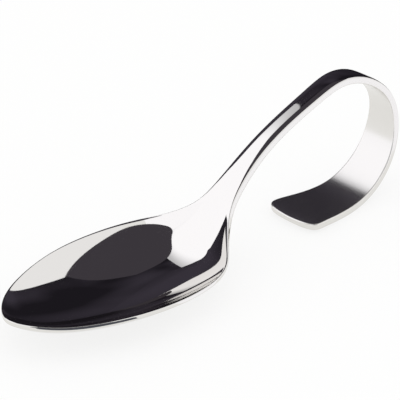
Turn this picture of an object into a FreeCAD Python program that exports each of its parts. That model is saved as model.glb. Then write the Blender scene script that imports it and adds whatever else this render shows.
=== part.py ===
# Amuse bouche spoon: an egg shaped bowl, a slim stem and a handle that curls back under itself as a foot.
# It is one piece of polished steel that stands on the bottom of its bowl and on its foot.
# Millimetres. X runs along the spoon from the bowl's tip to the curl, Y is across, Z is up.
# Origin: middle of the outline, on the table.
import math
import os

import FreeCAD
import Part

Vector = FreeCAD.Vector

# Overall sizes
spoon_length = 126.0
bowl_width = 39.0
rim_height = 8.4
tip_height = 9.6
stem_top = 36.6
neck_width = 5.2
foot_width = 17.0
foot_end = 91.9

# Metal
rim_thickness = 1.2
handle_thickness = 1.9
edge_width = 0.35
edge_height = 0.35
handle_edge_width = 1.4
handle_edge_height = 0.4
stem_crown = 0.06
bowl_fullness = 0.1

# The edge line is the outermost line of the rim and, past the throat, of the handle's outer face.
# It is one smooth curve from the tip of the bowl to the middle of the foot's end. This is its far side,
# and the near side is the mirror image. Each control point has six values: distance along, half width,
# height, and the shares there of the bowl's depth, of the stem's crown and of the handle's thickness.
half_bowl = bowl_width / 2
half_neck = neck_width / 2
half_foot = foot_width / 2
controls = [
    # bowl, from the tip to the shoulders
    (0.0, 0.0, tip_height, 0.0, 0.0, 0.0),
    (0.0, 0.12 * half_bowl, tip_height, 0.0, 0.0, 0.0),
    (0.0365 * spoon_length, 0.44 * half_bowl, 1.05 * rim_height, 0.30, 0.0, 0.0),
    (0.1111 * spoon_length, 0.755 * half_bowl, 1.01 * rim_height, 0.68, 0.0, 0.0),
    (0.2579 * spoon_length, 1.05 * half_bowl, rim_height, 1.07, 0.0, 0.0),
    (0.423 * spoon_length, 0.96 * half_bowl, 0.965 * rim_height, 0.78, 0.0, 0.1),
    # throat, where the rim turns up into the stem
    (0.473 * spoon_length, 0.585 * half_bowl, 1.24 * rim_height, 0.42, 0.0, 0.35),
    (0.5159 * spoon_length, 0.30 * half_bowl, 0.37 * stem_top, 0.13, 0.5, 0.7),
    (0.5484 * spoon_length, 1.38 * half_neck, 0.487 * stem_top, -0.02, 1.5, 1.0),
    # stem, up to the top of the curl
    (0.6508 * spoon_length, 0.97 * half_neck, 0.763 * stem_top, 0.0, 1.0, 1.0),
    (0.7873 * spoon_length, 1.05 * half_neck, 0.923 * stem_top, 0.0, 1.0, 1.0),
    (0.8476 * spoon_length, 1.16 * half_neck, 0.998 * stem_top, 0.0, 1.0, 1.0),
    # curl, over and down to the table
    (0.9238 * spoon_length, 1.29 * half_neck, 0.942 * stem_top, 0.0, 0.9, 1.0),
    (1.0111 * spoon_length, 0.46 * half_foot, 0.686 * stem_top, 0.0, 0.3, 1.0),
    (0.9952 * spoon_length, 0.64 * half_foot, 0.225 * stem_top, 0.0, 0.0, 1.0),
    # foot, flat on the table, cut off square and rounded at its corners
    (0.8913 * spoon_length, 0.74 * half_foot, -0.041 * stem_top, 0.0, 0.0, 1.0),
    (foot_end + 0.27 * half_foot, 1.02 * half_foot, 0.033 * stem_top, 0.0, 0.0, 1.0),
    (foot_end, 0.99 * half_foot, 0.0123 * stem_top, 0.0, 0.0, 1.0),
    (foot_end, 0.0, 0.0123 * stem_top, 0.0, 0.0, 1.0),
]
spans = len(controls) - 3


def curve(points):
    line = Part.BSplineCurve()
    repeats = [4] + [1] * (spans - 1) + [4]
    line.buildFromPolesMultsKnots(points, repeats, list(range(spans + 1)), False, 3)
    return line


edge_line = curve([Vector(c[0], c[1], c[2]) for c in controls])
shares = curve([Vector(c[3], c[4], c[5]) for c in controls])


def station(at, under):
    # The edge line's point, the sheet's upward direction there, the metal's thickness, the height of the
    # bevel on the front face or the underside, the lip where that bevel meets its face, and how far the
    # lip drops for each millimetre of hollow beside it.
    near = min(max(at, 0.01), spans - 0.01)
    path = edge_line.tangent(near)[0]
    up = Vector(-path.z, 0, path.x).normalize()
    gain = shares.value(at).z
    thickness = rim_thickness + (handle_thickness - rim_thickness) * gain
    # only the front face's bevel grows along the handle
    width = edge_width + (handle_edge_width - edge_width) * gain * (1 - under)
    height = edge_height + (handle_edge_height - edge_height) * gain * (1 - under)
    point = edge_line.value(at)
    lip = point + edge_line.tangent(at)[0].cross(up) * width
    inward = path.cross(up).y
    reach = (edge_line.value(near).y + inward * width) * -inward
    lean = 2 * (1 + bowl_fullness) * width / reach
    return point, up, thickness, height, lip, lean


# The foot is flat across, so its edge line finds the table. The bowl is as deep as lets its underside
# touch the table too.
steps = [spans * i / 400 for i in range(401)]
table = min(edge_line.value(at).z for at in steps)


def room(at):
    point, up, thickness, height, lip, lean = station(at, 1)
    return (point.z - table - thickness) / (shares.value(at).x * (1 + lean))


bowl_depth = min(room(at) for at in steps if 2 < at < 5)


def face_point(at, across, under):
    # across runs from lip to lip, -1 to 1; the underside follows the bowl's hollow but not the crown
    point, up, thickness, height, lip, lean = station(at, under)
    hollow = bowl_depth * shares.value(at).x - (1 - under) * stem_crown * shares.value(at).y
    bulge = (1 - across**2) * (1 + bowl_fullness * across**2)
    return Vector(lip.x, lip.y * across, lip.z) - up * (thickness * under + hollow * (lean + bulge))


def wall_point(at, under):
    # the side wall runs straight from bevel to bevel
    point, up, thickness, height, lip, lean = station(at, under)
    return point - up * (thickness - height if under else height)


# Lines and faces pass through places set evenly along the edge line, and through a fan of points across.
places = [i / 3 for i in range(3 * spans + 1)]
fan = [-math.cos(math.pi * k / 8) for k in range(9)]


def line(point_at):
    strand = Part.BSplineCurve()
    strand.interpolate(Points=[point_at(at) for at in places], Parameters=places)
    return strand


def face(under):
    across = Part.BSplineCurve()
    rows = []
    for at in places[1:-1]:
        across.interpolate(Points=[face_point(at, c, under) for c in fan], Parameters=fan)
        rows.append(across.getPoles())
    rows.insert(0, [face_point(places[0], 0, under)] * len(rows[0]))
    rows.append([face_point(places[-1], 0, under)] * len(rows[0]))
    columns = []
    for points in zip(*rows):
        strand = Part.BSplineCurve()
        strand.interpolate(Points=list(points), Parameters=places)
        columns.append(strand.getPoles())
    surface = Part.BSplineSurface()
    surface.buildFromPolesMultsKnots(
        [list(row) for row in zip(*columns)],
        strand.getMultiplicities(),
        across.getMultiplicities(),
        strand.getKnots(),
        across.getKnots(),
        False,
        False,
        3,
        3,
    )
    return surface


front = face(0)
back = face(1)
rim_lines = [
    line(lambda at: face_point(at, 1, 0)),
    line(lambda at: wall_point(at, 0)),
    line(lambda at: wall_point(at, 1)),
    line(lambda at: face_point(at, 1, 1)),
]

# The skin is divided where the spoon's parts meet: tip, bowl, throat, stem, curl and foot.
divisions = [0, 1, 2, 3, 4, 5, 6, 8, 10, 12, 14, 15, 16]
skin = []
for start, stop in zip(divisions, divisions[1:]):
    for surface in (front, back):
        piece = surface.copy()
        piece.segment(start, stop, -1, 1)
        skin.append(piece.toShape())
    pieces = []
    for rim_line in rim_lines:
        piece = rim_line.copy()
        piece.segment(start, stop)
        pieces.append(piece.toShape())
    for upper, lower in zip(pieces, pieces[1:]):
        strip = Part.makeRuledSurface(upper, lower)
        skin.append(strip)
        skin.append(strip.mirror(Vector(0, 0, 0), Vector(0, 1, 0)))
shell = Part.makeShell(skin)
shell.sewShape()
spoon = Part.makeSolid(shell)
spoon.translate(Vector(-spoon_length / 2, 0, -table))

os.makedirs("parts", exist_ok=True)
spoon.exportStep("parts/spoon.step")
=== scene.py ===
# Amuse bouche spoon on a pale table: one piece of mirror polished stainless steel that stands on the
# bottom of its bowl and on its curled back handle. Metres, X along the spoon, Z up.
import math

import bpy
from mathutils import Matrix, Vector


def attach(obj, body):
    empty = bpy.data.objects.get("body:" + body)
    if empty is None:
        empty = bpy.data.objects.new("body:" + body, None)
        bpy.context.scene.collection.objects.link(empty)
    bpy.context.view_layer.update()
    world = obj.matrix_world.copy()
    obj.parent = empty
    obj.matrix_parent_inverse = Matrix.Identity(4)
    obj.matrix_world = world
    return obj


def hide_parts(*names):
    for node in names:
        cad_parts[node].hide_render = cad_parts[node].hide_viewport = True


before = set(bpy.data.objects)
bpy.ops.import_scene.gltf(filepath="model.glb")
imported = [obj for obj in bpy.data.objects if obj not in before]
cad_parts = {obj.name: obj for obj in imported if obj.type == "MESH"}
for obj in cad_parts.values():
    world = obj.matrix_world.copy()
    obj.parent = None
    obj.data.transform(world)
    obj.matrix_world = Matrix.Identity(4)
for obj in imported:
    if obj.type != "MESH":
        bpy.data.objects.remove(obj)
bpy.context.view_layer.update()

# Spoon
# The whole object is one blank of 18/10 stainless steel, cut from sheet, pressed to an egg shaped bowl,
# rounded at its edges, and bent twice: up at the throat and round at the end into a curl whose tip is the
# foot. It is then polished lengthwise to a mirror.
mm = 0.001
spoon_length = 126.0 * mm
bowl_width = 39.0 * mm
rim_height = 8.4 * mm
tip_height = 9.6 * mm
stem_top = 36.6 * mm
neck_width = 5.2 * mm
foot_width = 17.0 * mm
foot_end = 91.9 * mm
rim_thickness = 1.2 * mm
handle_thickness = 1.9 * mm
edge_width = 0.35 * mm
edge_height = 0.35 * mm
handle_edge_width = 1.4 * mm
handle_edge_height = 0.4 * mm
stem_crown = 0.06 * mm
bowl_depth = 7.161 * mm
bowl_fullness = 0.1

# The edge line: control points of the far edge from the bowl's tip to the middle of the foot's end, as
# distance along, half width, height, and the shares of the bowl's depth, stem's crown and metal's gain.
# The line's lowest point, under the foot, is at the table's height.
half_bowl = bowl_width / 2
half_neck = neck_width / 2
half_foot = foot_width / 2
table_height = -0.0118 * mm
edge_controls = [
    (0.0, 0.0, tip_height, 0.0, 0.0, 0.0),
    (0.0, 0.12 * half_bowl, tip_height, 0.0, 0.0, 0.0),
    (0.0365 * spoon_length, 0.44 * half_bowl, 1.05 * rim_height, 0.30, 0.0, 0.0),
    (0.1111 * spoon_length, 0.755 * half_bowl, 1.01 * rim_height, 0.68, 0.0, 0.0),
    (0.2579 * spoon_length, 1.05 * half_bowl, rim_height, 1.07, 0.0, 0.0),
    (0.423 * spoon_length, 0.96 * half_bowl, 0.965 * rim_height, 0.78, 0.0, 0.1),
    (0.473 * spoon_length, 0.585 * half_bowl, 1.24 * rim_height, 0.42, 0.0, 0.35),
    (0.5159 * spoon_length, 0.30 * half_bowl, 0.37 * stem_top, 0.13, 0.5, 0.7),
    (0.5484 * spoon_length, 1.38 * half_neck, 0.487 * stem_top, -0.02, 1.5, 1.0),
    (0.6508 * spoon_length, 0.97 * half_neck, 0.763 * stem_top, 0.0, 1.0, 1.0),
    (0.7873 * spoon_length, 1.05 * half_neck, 0.923 * stem_top, 0.0, 1.0, 1.0),
    (0.8476 * spoon_length, 1.16 * half_neck, 0.998 * stem_top, 0.0, 1.0, 1.0),
    (0.9238 * spoon_length, 1.29 * half_neck, 0.942 * stem_top, 0.0, 0.9, 1.0),
    (1.0111 * spoon_length, 0.46 * half_foot, 0.686 * stem_top, 0.0, 0.3, 1.0),
    (0.9952 * spoon_length, 0.64 * half_foot, 0.225 * stem_top, 0.0, 0.0, 1.0),
    (0.8913 * spoon_length, 0.74 * half_foot, -0.041 * stem_top, 0.0, 0.0, 1.0),
    (foot_end + 0.27 * half_foot, 1.02 * half_foot, 0.033 * stem_top, 0.0, 0.0, 1.0),
    (foot_end, 0.99 * half_foot, 0.0123 * stem_top, 0.0, 0.0, 1.0),
    (foot_end, 0.0, 0.0123 * stem_top, 0.0, 0.0, 1.0),
]


def chain(name, points, closed, shares):
    # a line of points joined by edges, with the values that the points carry
    mesh = bpy.data.meshes.new(name)
    links = [(i, i + 1) for i in range(len(points) - 1)]
    if closed:
        links.append((len(points) - 1, 0))
    mesh.from_pydata(points, links, [])
    for label, values in shares.items():
        mesh.attributes.new(label, "FLOAT", "POINT").data.foreach_set("value", values)
    piece = bpy.data.objects.new(name, mesh)
    bpy.context.scene.collection.objects.link(piece)
    return piece


spoon = chain(
    "polished_spoon",
    [(c[0] - spoon_length / 2, c[1], c[2] - table_height) for c in edge_controls],
    False,
    {
        "depth_share": [c[3] for c in edge_controls],
        "crown_share": [c[4] for c in edge_controls],
        "metal_share": [c[5] for c in edge_controls],
    },
)

# One turn round the section of the metal: the front face from lip to lip, the far edge rounded over, the
# underside, and the near edge. X is the place across, Y goes round an edge, Z is from front to underside.
face_steps = 30
round_steps = 5
wall_steps = 4
stations_each_span = 32
across = [-math.cos(math.pi * i / face_steps) for i in range(face_steps + 1)]
rounding = [i / round_steps for i in range(1, round_steps + 1)]
far_side = [(1, turn, 0) for turn in rounding]
far_side += [(1, 1, i / wall_steps) for i in range(1, wall_steps)]
far_side += [(1, turn, 1) for turn in reversed(rounding)]
near_side = [(-1, turn, under) for _, turn, under in reversed(far_side)]
section = chain(
    "metal_section",
    [(a, 0, 0) for a in across] + far_side + [(a, 0, 1) for a in reversed(across)] + near_side,
    True,
    {},
)


def add(tree, kind, links=None, **settings):
    # adds a node with its settings; links holds a value, a socket or a node's first output for each input
    node = tree.nodes.new(kind)
    for label, value in settings.items():
        setattr(node, label, value)
    for place, value in (links or {}).items():
        if isinstance(value, bpy.types.Node):
            value = value.outputs[0]
        if isinstance(value, bpy.types.NodeSocket):
            tree.links.new(value, node.inputs[place])
        else:
            node.inputs[place].default_value = value
    return node


# Pressed sheet: a section swept along the edge line. At each station the front face runs from lip to lip,
# sinks by the bowl's hollow or rises by the stem's crown, and the underside follows it one metal
# thickness lower.
press = bpy.data.node_groups.new("pressed_sheet", "GeometryNodeTree")
sizes = [
    ("Edge line", "NodeSocketGeometry", None),
    ("Section", "NodeSocketObject", section),
    ("Stations", "NodeSocketInt", stations_each_span),
    ("Rim thickness", "NodeSocketFloat", rim_thickness),
    ("Handle thickness", "NodeSocketFloat", handle_thickness),
    ("Edge width", "NodeSocketFloat", edge_width),
    ("Edge height", "NodeSocketFloat", edge_height),
    ("Handle edge width", "NodeSocketFloat", handle_edge_width),
    ("Handle edge height", "NodeSocketFloat", handle_edge_height),
    ("Stem crown", "NodeSocketFloat", stem_crown),
    ("Bowl depth", "NodeSocketFloat", bowl_depth),
    ("Bowl fullness", "NodeSocketFloat", bowl_fullness),
    ("Metal", "NodeSocketMaterial", None),
]
sockets = {}
for label, kind, _ in sizes:
    sockets[label] = press.interface.new_socket(name=label, in_out="INPUT", socket_type=kind)
press.interface.new_socket(name="Spoon", in_out="OUTPUT", socket_type="NodeSocketGeometry")
given = add(press, "NodeGroupInput").outputs

# Stations, set evenly along the edge line. It is clamped: it starts and ends in its end controls.
curve = add(press, "GeometryNodeMeshToCurve", {"Mesh": given["Edge line"]})
curve = add(press, "GeometryNodeCurveSplineType", {"Curve": curve}, spline_type="NURBS")
curve = add(
    press,
    "GeometryNodeStoreNamedAttribute",
    {"Geometry": curve, "Name": "knots_mode", "Value": 1},
    data_type="INT8",
    domain="CURVE",
)
curve = add(press, "GeometryNodeSetSplineResolution", {0: curve, "Resolution": given["Stations"]})
stations = add(press, "GeometryNodeCurveToPoints", {"Curve": curve}, mode="EVALUATED")
place = add(press, "GeometryNodeInputPosition")
path = stations.outputs["Tangent"]
share = {}
for label in ("depth_share", "crown_share", "metal_share"):
    named = add(press, "GeometryNodeInputNamedAttribute", {"Name": label}, data_type="FLOAT")
    share[label] = named.outputs["Attribute"]


def along_handle(rim, handle):
    # a size that changes from the rim's to the handle's through the throat
    gain = add(press, "ShaderNodeMath", {0: given[handle], 1: given[rim]}, operation="SUBTRACT")
    grown = {0: gain, 1: share["metal_share"], 2: given[rim]}
    return add(press, "ShaderNodeMath", grown, operation="MULTIPLY_ADD")


thickness = along_handle("Rim thickness", "Handle thickness")
top_width = along_handle("Edge width", "Handle edge width")
top_height = along_handle("Edge height", "Handle edge height")

# The sheet's upward direction, and the share of the path that runs along the spoon's length and height
path_part = add(press, "ShaderNodeSeparateXYZ", {0: path}).outputs
backward = add(press, "ShaderNodeMath", {0: path_part[2], 1: -1.0}, operation="MULTIPLY")
turned = add(press, "ShaderNodeCombineXYZ", {0: backward, 2: path_part[0]})
up = add(press, "ShaderNodeVectorMath", {0: turned}, operation="NORMALIZE")
level = add(press, "ShaderNodeVectorMath", {0: turned}, operation="LENGTH").outputs["Value"]
half_width = add(press, "ShaderNodeSeparateXYZ", {0: place}).outputs[1]
fall = add(press, "ShaderNodeMath", {0: given["Bowl fullness"], 1: 1.0}, operation="ADD")
fall = add(press, "ShaderNodeMath", {0: fall, 1: 2.0}, operation="MULTIPLY")

# At the two ends the sheet has no width left, and this keeps the slope there from being divided by nothing
least_reach = 1e-12


def lip(width):
    # where a face ends, one edge width inside the edge line, and how much lower the face lies there for
    # each millimetre of hollow beside it
    inward = add(press, "ShaderNodeVectorMath", {0: path, 1: up}, operation="CROSS_PRODUCT")
    inward = add(press, "ShaderNodeVectorMath", {0: inward, "Scale": width}, operation="SCALE")
    spot = add(press, "ShaderNodeVectorMath", {0: place, 1: inward}, operation="ADD")
    part = add(press, "ShaderNodeSeparateXYZ", {0: spot}).outputs
    aside = add(press, "ShaderNodeMath", {0: part[1], 1: 0.0}, operation="MAXIMUM")
    spot = add(press, "ShaderNodeCombineXYZ", {0: part[0], 1: aside, 2: part[2]})
    reach = add(press, "ShaderNodeMath", {0: level, 1: width}, operation="MULTIPLY")
    reach = add(press, "ShaderNodeMath", {0: half_width, 1: reach}, operation="SUBTRACT")
    reach = add(press, "ShaderNodeMath", {0: reach, 1: level}, operation="MULTIPLY")
    reach = add(press, "ShaderNodeMath", {0: reach, 1: least_reach}, operation="MAXIMUM")
    lean = add(press, "ShaderNodeMath", {0: fall, 1: width}, operation="MULTIPLY")
    lean = add(press, "ShaderNodeMath", {0: lean, 1: reach}, operation="DIVIDE")
    return spot, lean


top_lip, top_lean = lip(top_width)
under_lip, under_lean = lip(given["Edge width"])
hollow = {0: given["Bowl depth"], 1: share["depth_share"]}
hollow = add(press, "ShaderNodeMath", hollow, operation="MULTIPLY")
crown = {0: given["Stem crown"], 1: share["crown_share"]}
crown = add(press, "ShaderNodeMath", crown, operation="MULTIPLY")
top_drop = add(press, "ShaderNodeMath", {0: hollow, 1: crown}, operation="SUBTRACT")
top_drop = add(press, "ShaderNodeMath", {0: top_drop, 1: top_lean}, operation="MULTIPLY")
under_drop = add(press, "ShaderNodeMath", {0: hollow, 1: under_lean}, operation="MULTIPLY")

# Skin: a grid with a row for each station and a column for each point of the section. The last column
# lies on the first one, which closes the sheet round its section.
outline = add(press, "GeometryNodeObjectInfo", {"Object": given["Section"]}).outputs["Geometry"]
counts = []
for points, component in ((stations, "POINTCLOUD"), (outline, "MESH")):
    size = add(press, "GeometryNodeAttributeDomainSize", {"Geometry": points}, component=component)
    counts.append(size.outputs["Point Count"])
station_count, section_count = counts
columns = add(press, "FunctionNodeIntegerMath", {0: section_count, 1: 1}, operation="ADD")
skin = add(press, "GeometryNodeMeshGrid", {"Vertices X": station_count, "Vertices Y": columns})
number = add(press, "GeometryNodeInputIndex")
row = add(press, "FunctionNodeIntegerMath", {0: number, 1: columns}, operation="DIVIDE_FLOOR")
column = add(press, "FunctionNodeIntegerMath", {0: number, 1: columns}, operation="MODULO")
column = add(press, "FunctionNodeIntegerMath", {0: column, 1: section_count}, operation="MODULO")
last_inner = add(press, "FunctionNodeIntegerMath", {0: station_count, 1: 2}, operation="SUBTRACT")
inner_row = add(press, "FunctionNodeIntegerMath", {0: row, 1: 1}, operation="MAXIMUM")
inner_row = add(press, "FunctionNodeIntegerMath", {0: inner_row, 1: last_inner}, operation="MINIMUM")

# What each point of the skin takes from its station, and its place in the section
here = {}
for label, value, kind, which in (
    ("edge", place, "FLOAT_VECTOR", row),
    ("up", up, "FLOAT_VECTOR", row),
    ("top lip", top_lip, "FLOAT_VECTOR", row),
    ("under lip", under_lip, "FLOAT_VECTOR", row),
    ("hollow", hollow, "FLOAT", row),
    ("crown", crown, "FLOAT", row),
    ("thickness", thickness, "FLOAT", row),
    ("top height", top_height, "FLOAT", row),
    ("metal share", share["metal_share"], "FLOAT", row),
    ("top drop", top_drop, "FLOAT", inner_row),
    ("under drop", under_drop, "FLOAT", inner_row),
):
    sample = {"Geometry": stations, "Value": value, "Index": which}
    here[label] = add(press, "GeometryNodeSampleIndex", sample, data_type=kind)
sample = {"Geometry": outline, "Value": place, "Index": column}
sample = add(press, "GeometryNodeSampleIndex", sample, data_type="FLOAT_VECTOR")
side, turn, under = add(press, "ShaderNodeSeparateXYZ", {0: sample}).outputs
upper = add(press, "ShaderNodeMath", {0: 1.0, 1: under}, operation="SUBTRACT")


def top_to_under(top, bottom):
    # goes from the front face's value to the underside's as the section turns over the edge
    bottom = add(press, "ShaderNodeMath", {0: bottom, 1: under}, operation="MULTIPLY")
    return add(press, "ShaderNodeMath", {0: top, 1: upper, 2: bottom}, operation="MULTIPLY_ADD")


# Across: from lip to lip, and out to the edge line as the section turns over it
rest = add(press, "ShaderNodeMath", {0: 1.0, 1: turn}, operation="SUBTRACT")
rest = add(press, "ShaderNodeMath", {0: rest, 1: rest}, operation="MULTIPLY")
lips = {"Factor": under, 4: here["top lip"], 5: here["under lip"]}
lips = add(press, "ShaderNodeMix", lips, data_type="VECTOR").outputs[1]
base = {"Factor": rest, 4: here["edge"], 5: lips}
base = add(press, "ShaderNodeMix", base, data_type="VECTOR").outputs[1]
part = add(press, "ShaderNodeSeparateXYZ", {0: base}).outputs
aside = add(press, "ShaderNodeMath", {0: part[1], 1: side}, operation="MULTIPLY")
sideways = add(press, "ShaderNodeCombineXYZ", {0: part[0], 1: aside, 2: part[2]})

# Down: the metal's thickness, the hollow or crown, and the turn over the edge
square = add(press, "ShaderNodeMath", {0: side, 1: side}, operation="MULTIPLY")
bulge = {0: square, 1: given["Bowl fullness"], 2: 1.0}
bulge = add(press, "ShaderNodeMath", bulge, operation="MULTIPLY_ADD")
inside_lips = add(press, "ShaderNodeMath", {0: 1.0, 1: square}, operation="SUBTRACT")
bulge = add(press, "ShaderNodeMath", {0: inside_lips, 1: bulge}, operation="MULTIPLY")
rise = add(press, "ShaderNodeMath", {0: upper, 1: here["crown"]}, operation="MULTIPLY")
sink = add(press, "ShaderNodeMath", {0: here["hollow"], 1: rise}, operation="SUBTRACT")
sink = add(press, "ShaderNodeMath", {0: sink, 1: bulge}, operation="MULTIPLY")
drop = top_to_under(here["top drop"], here["under drop"])
sink = add(press, "ShaderNodeMath", {0: drop, 1: rest, 2: sink}, operation="MULTIPLY_ADD")
lower_face = {0: under, 1: here["thickness"], 2: sink}
sink = add(press, "ShaderNodeMath", lower_face, operation="MULTIPLY_ADD")
under_height = add(press, "ShaderNodeMath", {0: given["Edge height"], 1: -1.0}, operation="MULTIPLY")
over = top_to_under(here["top height"], under_height)
turned_over = add(press, "ShaderNodeMath", {0: turn, 1: turn}, operation="MULTIPLY")
sink = add(press, "ShaderNodeMath", {0: turned_over, 1: over, 2: sink}, operation="MULTIPLY_ADD")
down = add(press, "ShaderNodeVectorMath", {0: here["up"], "Scale": sink}, operation="SCALE")
shaped = add(press, "ShaderNodeVectorMath", {0: sideways, 1: down}, operation="SUBTRACT")

# The skin in its place, closed at its seam and its two ends, with a mark on the handle's inner face
inner_face = add(press, "ShaderNodeMath", {0: under, 1: here["metal share"]}, operation="MULTIPLY")
skin = add(press, "GeometryNodeSetPosition", {"Geometry": skin, "Position": shaped})
skin = add(
    press,
    "GeometryNodeStoreNamedAttribute",
    {"Geometry": skin, "Name": "inside", "Value": inner_face},
    data_type="FLOAT",
    domain="POINT",
)
seam_gap = 0.0002 * mm
skin = add(press, "GeometryNodeMergeByDistance", {"Geometry": skin, "Distance": seam_gap})
skin = add(press, "GeometryNodeSetShadeSmooth", {0: skin})
skin = add(press, "GeometryNodeRealizeInstances", {0: skin})
skin = add(press, "GeometryNodeSetMaterial", {"Geometry": skin, "Material": given["Metal"]})
add(press, "NodeGroupOutput", {0: skin})


def linear(code):
    # an sRGB hex colour as linear light
    parts = [int(code[i : i + 2], 16) / 255 for i in (1, 3, 5)]
    return [p / 12.92 if p <= 0.04045 else ((p + 0.055) / 1.055) ** 2.4 for p in parts] + [1.0]


def blank(name):
    # a material with an empty tree
    material = bpy.data.materials.new(name)
    material.use_nodes = True
    material.node_tree.nodes.clear()
    return material


# Mirror polished 18/10 stainless steel: a pale grey metal that shows the room sharply. Lengthwise buffing
# leaves hair lines a third of a millimetre apart and 25 mm long, and handling leaves faint cloudy smears
# of about a fingertip's size. The wheel hardly reaches the handle's inner face, which is satin.
line_gap = mm / 3
line_length = 25.0 * mm
line_depth = 0.02 * mm
smear_size = 11.1 * mm
steel = blank("mirror_polished_stainless_steel")
tree = steel.node_tree
where = add(tree, "ShaderNodeTexCoord").outputs["Object"]
grain = (1 / line_length, 1 / line_gap, 1 / line_length)
grain = add(tree, "ShaderNodeMapping", {"Vector": where, "Scale": grain})
lines = {"Vector": grain, "Scale": 1.0, "Detail": 3.0, "Roughness": 0.6}
lines = add(tree, "ShaderNodeTexNoise", lines)
smears = {"Vector": where, "Scale": 1 / smear_size, "Detail": 4.0, "Distortion": 0.6}
smears = add(tree, "ShaderNodeTexNoise", smears)
inside = add(tree, "ShaderNodeAttribute", attribute_name="inside").outputs["Fac"]
satin = add(tree, "ShaderNodeMapRange", {0: inside, "To Min": 0.025, "To Max": 0.22})
clouds = {0: smears, "From Min": 0.35, "From Max": 0.7, "To Min": 0.0, "To Max": 0.015}
clouds = add(tree, "ShaderNodeMapRange", clouds)
gloss = add(tree, "ShaderNodeMath", {0: satin, 1: clouds}, operation="ADD")
relief = add(tree, "ShaderNodeBump", {"Height": lines, "Strength": 0.02, "Distance": line_depth})
finish = {"Base Color": linear("#E2E0DC"), "Metallic": 1.0, "Roughness": gloss, "Normal": relief}
finish = add(tree, "ShaderNodeBsdfPrincipled", finish)
add(tree, "ShaderNodeOutputMaterial", {"Surface": finish})

# The sheet is pressed once, and is a plain mesh from then on, without the grid's own empty material slot
pressing = spoon.modifiers.new("pressing", "NODES")
pressing.node_group = press
for label, _, value in sizes:
    if label == "Metal":
        value = steel
    if value is not None:
        pressing[sockets[label].identifier] = value
evaluated = bpy.context.evaluated_depsgraph_get()
pressed = bpy.data.meshes.new_from_object(spoon.evaluated_get(evaluated))
if pressed.materials[0] is None:
    pressed.materials.pop(index=0)
spoon.modifiers.clear()
spoon.data = pressed
bpy.data.objects.remove(section)
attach(spoon, "root")
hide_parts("spoon")

# Table
# A wide table top of matt white laminate. It is as white as the room where the camera or the steel sees
# it, and keeps the spoon's soft shadow.
floor_mesh = bpy.data.meshes.new("table_top")
floor_mesh.from_pydata([(-4, -4, 0), (4, -4, 0), (4, 4, 0), (-4, 4, 0)], [], [(0, 1, 2, 3)])
floor = bpy.data.objects.new("table_top", floor_mesh)
bpy.context.scene.collection.objects.link(floor)


def in_view(tree):
    # 1 for a ray that the camera sends, straight or by way of the steel, and 0 for one that carries light
    ray = add(tree, "ShaderNodeLightPath").outputs
    seen = ray["Is Camera Ray"]
    for other in ("Is Glossy Ray", "Is Transmission Ray"):
        seen = add(tree, "ShaderNodeMath", {0: seen, 1: ray[other]}, operation="MAXIMUM")
    return seen


laminate = blank("white_laminate")
matt = add(laminate.node_tree, "ShaderNodeBsdfDiffuse", {"Color": linear("#F6F6F5")})
white = add(laminate.node_tree, "ShaderNodeEmission", {"Color": linear("#FFFFFF"), "Strength": 1.0})
lift = {0: in_view(laminate.node_tree), "To Min": 0.0, "To Max": 0.75}
lift = add(laminate.node_tree, "ShaderNodeMapRange", lift)
top = add(laminate.node_tree, "ShaderNodeMixShader", {0: lift, 1: matt, 2: white})
add(laminate.node_tree, "ShaderNodeOutputMaterial", {"Surface": top})
floor_mesh.materials.append(laminate)

# Room
# Plain white walls and ceiling that light the table evenly from all sides. They are exactly white to the
# camera and in the steel.
room = bpy.data.worlds.new("white_room")
bpy.context.scene.world = room
room.use_nodes = True
room.node_tree.nodes.clear()
glow = {0: in_view(room.node_tree), "To Min": 1.06, "To Max": 1.0}
glow = add(room.node_tree, "ShaderNodeMapRange", glow)
glow = add(room.node_tree, "ShaderNodeBackground", {"Color": linear("#FFFFFF"), "Strength": glow})
add(room.node_tree, "ShaderNodeOutputWorld", {"Surface": glow})

# Black flags
# Sheets of black velvet on stands, and a runner of it on the table. Only the steel sees them, as its
# black fields: behind the table for the curl and the foot, low at its side for the edges of the stem,
# and beside the camera for the near edges.


def card(name, corners, material):
    # a flat studio card from its corners in metres, seen only in reflections
    mesh = bpy.data.meshes.new(name)
    mesh.from_pydata(corners, [], [range(len(corners))])
    if len(corners) == 4:
        mesh.uv_layers.new(name="cloth").data.foreach_set("uv", (0, 0, 1, 0, 1, 1, 0, 1))
    mesh.materials.append(material)
    piece = bpy.data.objects.new(name, mesh)
    bpy.context.scene.collection.objects.link(piece)
    piece.visible_camera = False
    piece.visible_shadow = False
    piece.visible_diffuse = False


def upright(azimuth, distance, half_width, low, high):
    # the corners of a card that stands square to the direction in which the spoon sees it
    turn = math.radians(azimuth)
    middle = Vector((math.cos(turn), math.sin(turn), 0)) * distance
    aside = Vector((-math.sin(turn), math.cos(turn), 0)) * half_width
    foot = Vector((0, 0, low))
    head = Vector((0, 0, high))
    return [middle - aside + foot, middle + aside + foot, middle + aside + head, middle - aside + head]


def on_wall(azimuth, elevation, distance):
    # the place that the spoon sees in a direction, on a round wall
    turn = math.radians(azimuth)
    height = math.tan(math.radians(elevation)) * distance
    return (math.cos(turn) * distance, math.sin(turn) * distance, height)


def rounded(corners):
    # cuts a card's corners again and again, until its outline is smooth
    corners = [Vector(corner) for corner in corners]
    for _ in range(4):
        sides = zip(corners, corners[1:] + corners[:1])
        corners = [a.lerp(b, t) for a, b in sides for t in (0.25, 0.75)]
    return corners


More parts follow.
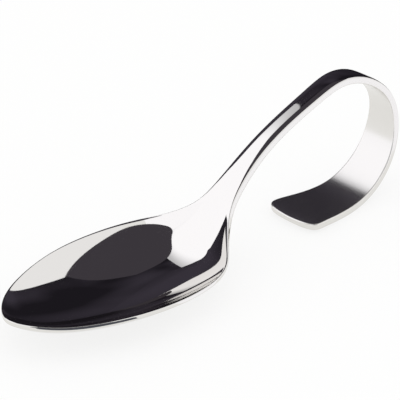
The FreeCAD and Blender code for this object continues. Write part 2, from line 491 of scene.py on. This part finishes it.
# Black velvet takes up most light, and shows a little unevenly where its pile lies over
pile_patch = 1.25
velvet = blank("black_velvet")
where = add(velvet.node_tree, "ShaderNodeTexCoord").outputs["Object"]
pile = {"Vector": where, "Scale": 1 / pile_patch, "Detail": 1.5}
pile = add(velvet.node_tree, "ShaderNodeTexNoise", pile)
pile = {0: pile, "From Min": 0.4, "From Max": 0.7, "To Min": 0.7, "To Max": 2.4}
pile = add(velvet.node_tree, "ShaderNodeMapRange", pile)
dim = add(velvet.node_tree, "ShaderNodeEmission", {"Color": linear("#26232A"), "Strength": pile})
add(velvet.node_tree, "ShaderNodeOutputMaterial", {"Surface": dim})

card("back_flag", upright(37.9, 2.0, 1.3, 0.0, 5.2), velvet)
low_corners = rounded([(50, -20), (97, -20), (110, 27), (92, 31), (80, 40), (50, 46)])
card("low_flag", [on_wall(c.x, c.y, 1.1) for c in low_corners], velvet)
runner_height = 0.002
velvet_corners = [(0.19, 0.0), (2.6, 0.0), (0.9, 2.6), (0.06, 0.19)]
card("velvet_runner", [(x, y, runner_height) for x, y in velvet_corners], velvet)
card("camera_flag", upright(-118.0, 1.2, 0.56, 0.0, 1.0), velvet)


def glowing(name, color, strength):
    # an even glow, for cloth that only shows in reflections
    material = blank(name)
    glow = {"Color": linear(color), "Strength": strength}
    glow = add(material.node_tree, "ShaderNodeEmission", glow)
    add(material.node_tree, "ShaderNodeOutputMaterial", {"Surface": glow})
    return material


# Grey felt and dark curtain
# A strip of grey felt on the table before the bowl darkens the near side of its rim, and a curtain
# stretched overhead on an oval frame is the dark field in the hollow of the bowl.
felt_corners = [(-0.080, -0.015), (-0.25, -0.15), (-0.14, -0.6), (-0.036, -0.025)]
felt = glowing("grey_felt", "#55575F", 1.0)
card("near_runner", [(x, y, runner_height) for x, y in felt_corners], felt)
curtain_height = 2.5
curtain_corners = [
    (-1.9, -0.8),
    (0.6, -0.8),
    (2.2, -0.35),
    (2.9, 1.2),
    (1.2, 1.5),
    (0.2, 1.3),
    (-0.9, 0.5),
    (-2.0, 0.25),
    (-2.5, -0.25),
]
curtain_corners = rounded([(x, y, curtain_height) for x, y in curtain_corners])
card("ceiling_flag", curtain_corners, glowing("dark_curtain", "#433F46", 1.0))

# Softboxes and reflectors
# The left softbox's cloth is brightest off its middle and falls off to its sides, which shades the pale
# field down the stem. The others glow evenly: a softbox and a scrim at the sides, and a white card on
# the table beside the spoon that brightens the near walls of the metal.
cloth = blank("softbox_cloth")
spot = add(cloth.node_tree, "ShaderNodeTexCoord").outputs["UV"]
spot = add(cloth.node_tree, "ShaderNodeVectorMath", {0: spot, 1: (0.65, 0.5, 0.0)}, operation="DISTANCE")
fade = {0: spot.outputs["Value"], "From Min": 0.3, "From Max": 0.65, "To Min": 1.32, "To Max": 0.66}
fade = add(cloth.node_tree, "ShaderNodeMapRange", fade, interpolation_type="SMOOTHSTEP")
bright = add(cloth.node_tree, "ShaderNodeEmission", {"Color": linear("#FAFAFF"), "Strength": fade})
add(cloth.node_tree, "ShaderNodeOutputMaterial", {"Surface": bright})
left_corners = [(69, -50, 4.05), (175, -50, 3.0), (175, 66, 3.0), (69, 66, 4.05)]
card("left_softbox", [on_wall(*corner) for corner in left_corners], cloth)
reflector_corners = [(-0.02, -0.6), (0.6, -0.6), (0.6, -0.022), (-0.02, -0.022)]
reflector_height = 0.001
reflector = glowing("white_reflector", "#FAFAFF", 1.2)
card("bounce_card", [(x, y, reflector_height) for x, y in reflector_corners], reflector)
card("right_softbox", upright(-46.0, 2.0, 4.0, -1.2, 6.0), glowing("even_cloth", "#FAFAFC", 1.07))
card("side_scrim", upright(-166.0, 2.9, 1.0, -3.0, 6.5), glowing("side_cloth", "#FAFAFF", 1.3))

# Camera
# The photograph's long lens, a little above the table and to the left of the bowl's tip.
lens = bpy.data.cameras.new("camera")
lens.sensor_width = 36.0
lens.lens = 335.9
lens.shift_x = -0.0047
lens.clip_start = 0.05
lens.clip_end = 20.0
camera = bpy.data.objects.new("camera", lens)
bpy.context.scene.collection.objects.link(camera)
aim = Vector((-0.001, 0.0, 0.018))
camera_distance = 0.9
turned_by = math.radians(-43.5)
raised_by = math.radians(28.52)
back = Vector(
    (
        math.sin(turned_by) * math.cos(raised_by),
        -math.cos(turned_by) * math.cos(raised_by),
        math.sin(raised_by),
    )
)
camera.location = aim + back * camera_distance
camera.rotation_mode = "QUATERNION"
camera.rotation_quaternion = (-back).to_track_quat("-Z", "Y")
bpy.context.scene.camera = camera

bpy.context.scene.view_settings.view_transform = "Standard"
